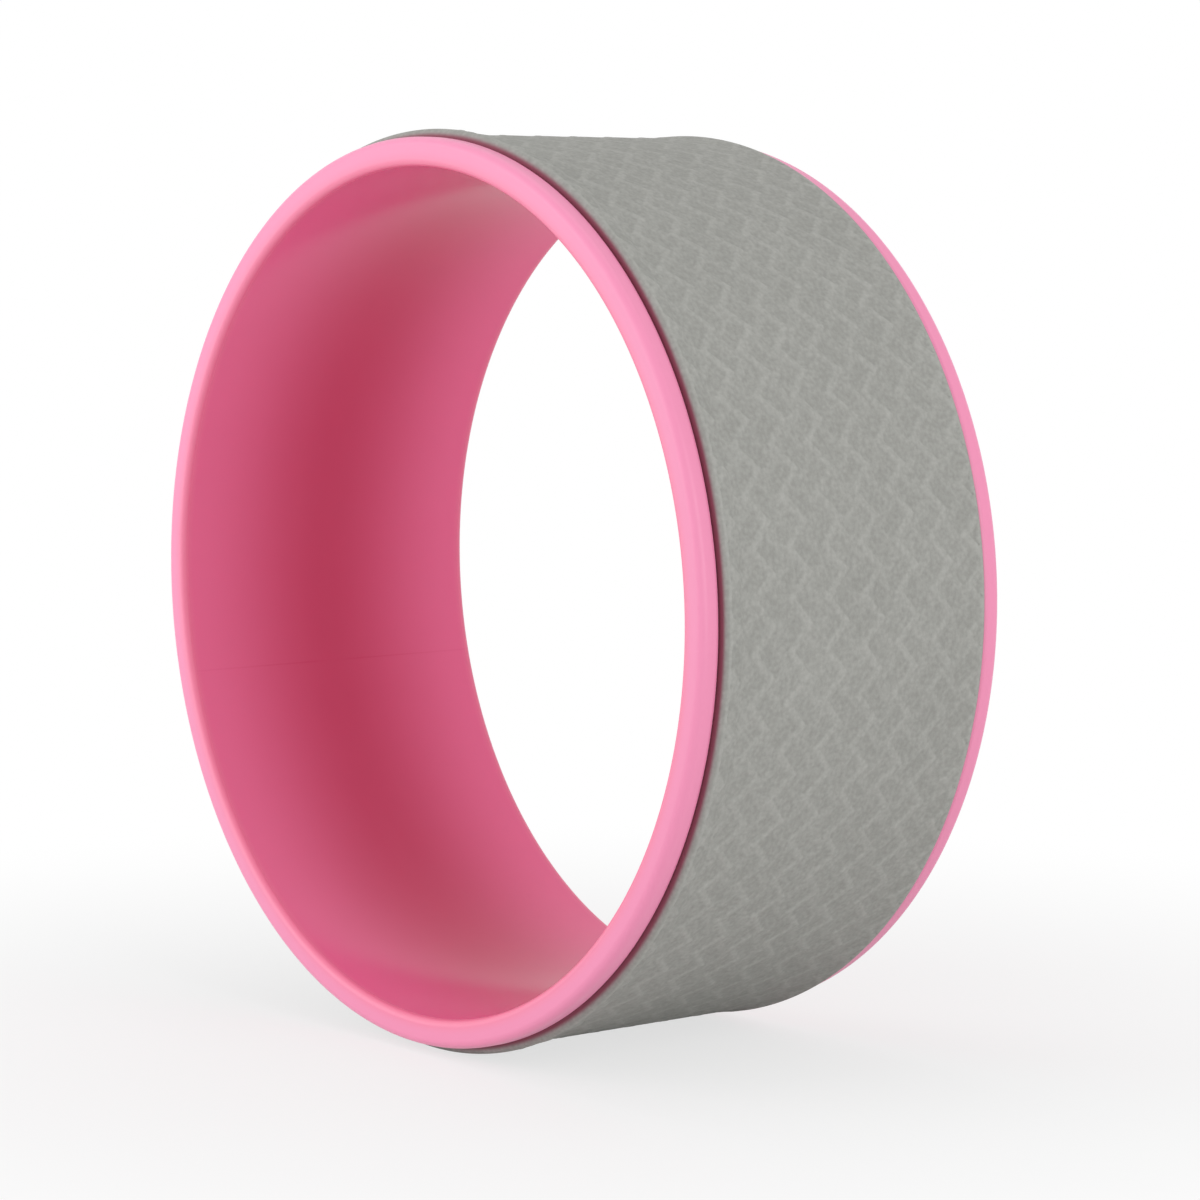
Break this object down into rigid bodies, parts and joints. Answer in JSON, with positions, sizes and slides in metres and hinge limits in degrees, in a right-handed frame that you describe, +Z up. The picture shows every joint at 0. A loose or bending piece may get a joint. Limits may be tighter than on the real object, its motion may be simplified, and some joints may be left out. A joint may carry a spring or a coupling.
{
  "type": "yoga wheel",
  "caption": "Wide plastic hoop with a rounded lip on each rim and a zig-zag embossed foam mat bonded round its tread, for rolling on and for back stretches.",
  "frame": {"origin": "the wheel's centre, on its axis and midway between the faces of its lips", "axes": "+Y along the wheel's axis, +Z up with the tread on the floor below, the mat's butt seam on the -X side"},
  "size_m": [0.32, 0.13, 0.32],
  "materials": {
    "hoop_plastic": "glossy moulded plastic, pink",
    "adhesive": "dull cream film",
    "mat_foam": "matt grey foam with an embossed zig-zag"
  },
  "bodies": {
    "root": {"hoop": "hoop_plastic", "adhesive_film": "adhesive", "mat": "mat_foam"}
  },
  "joints": []
}
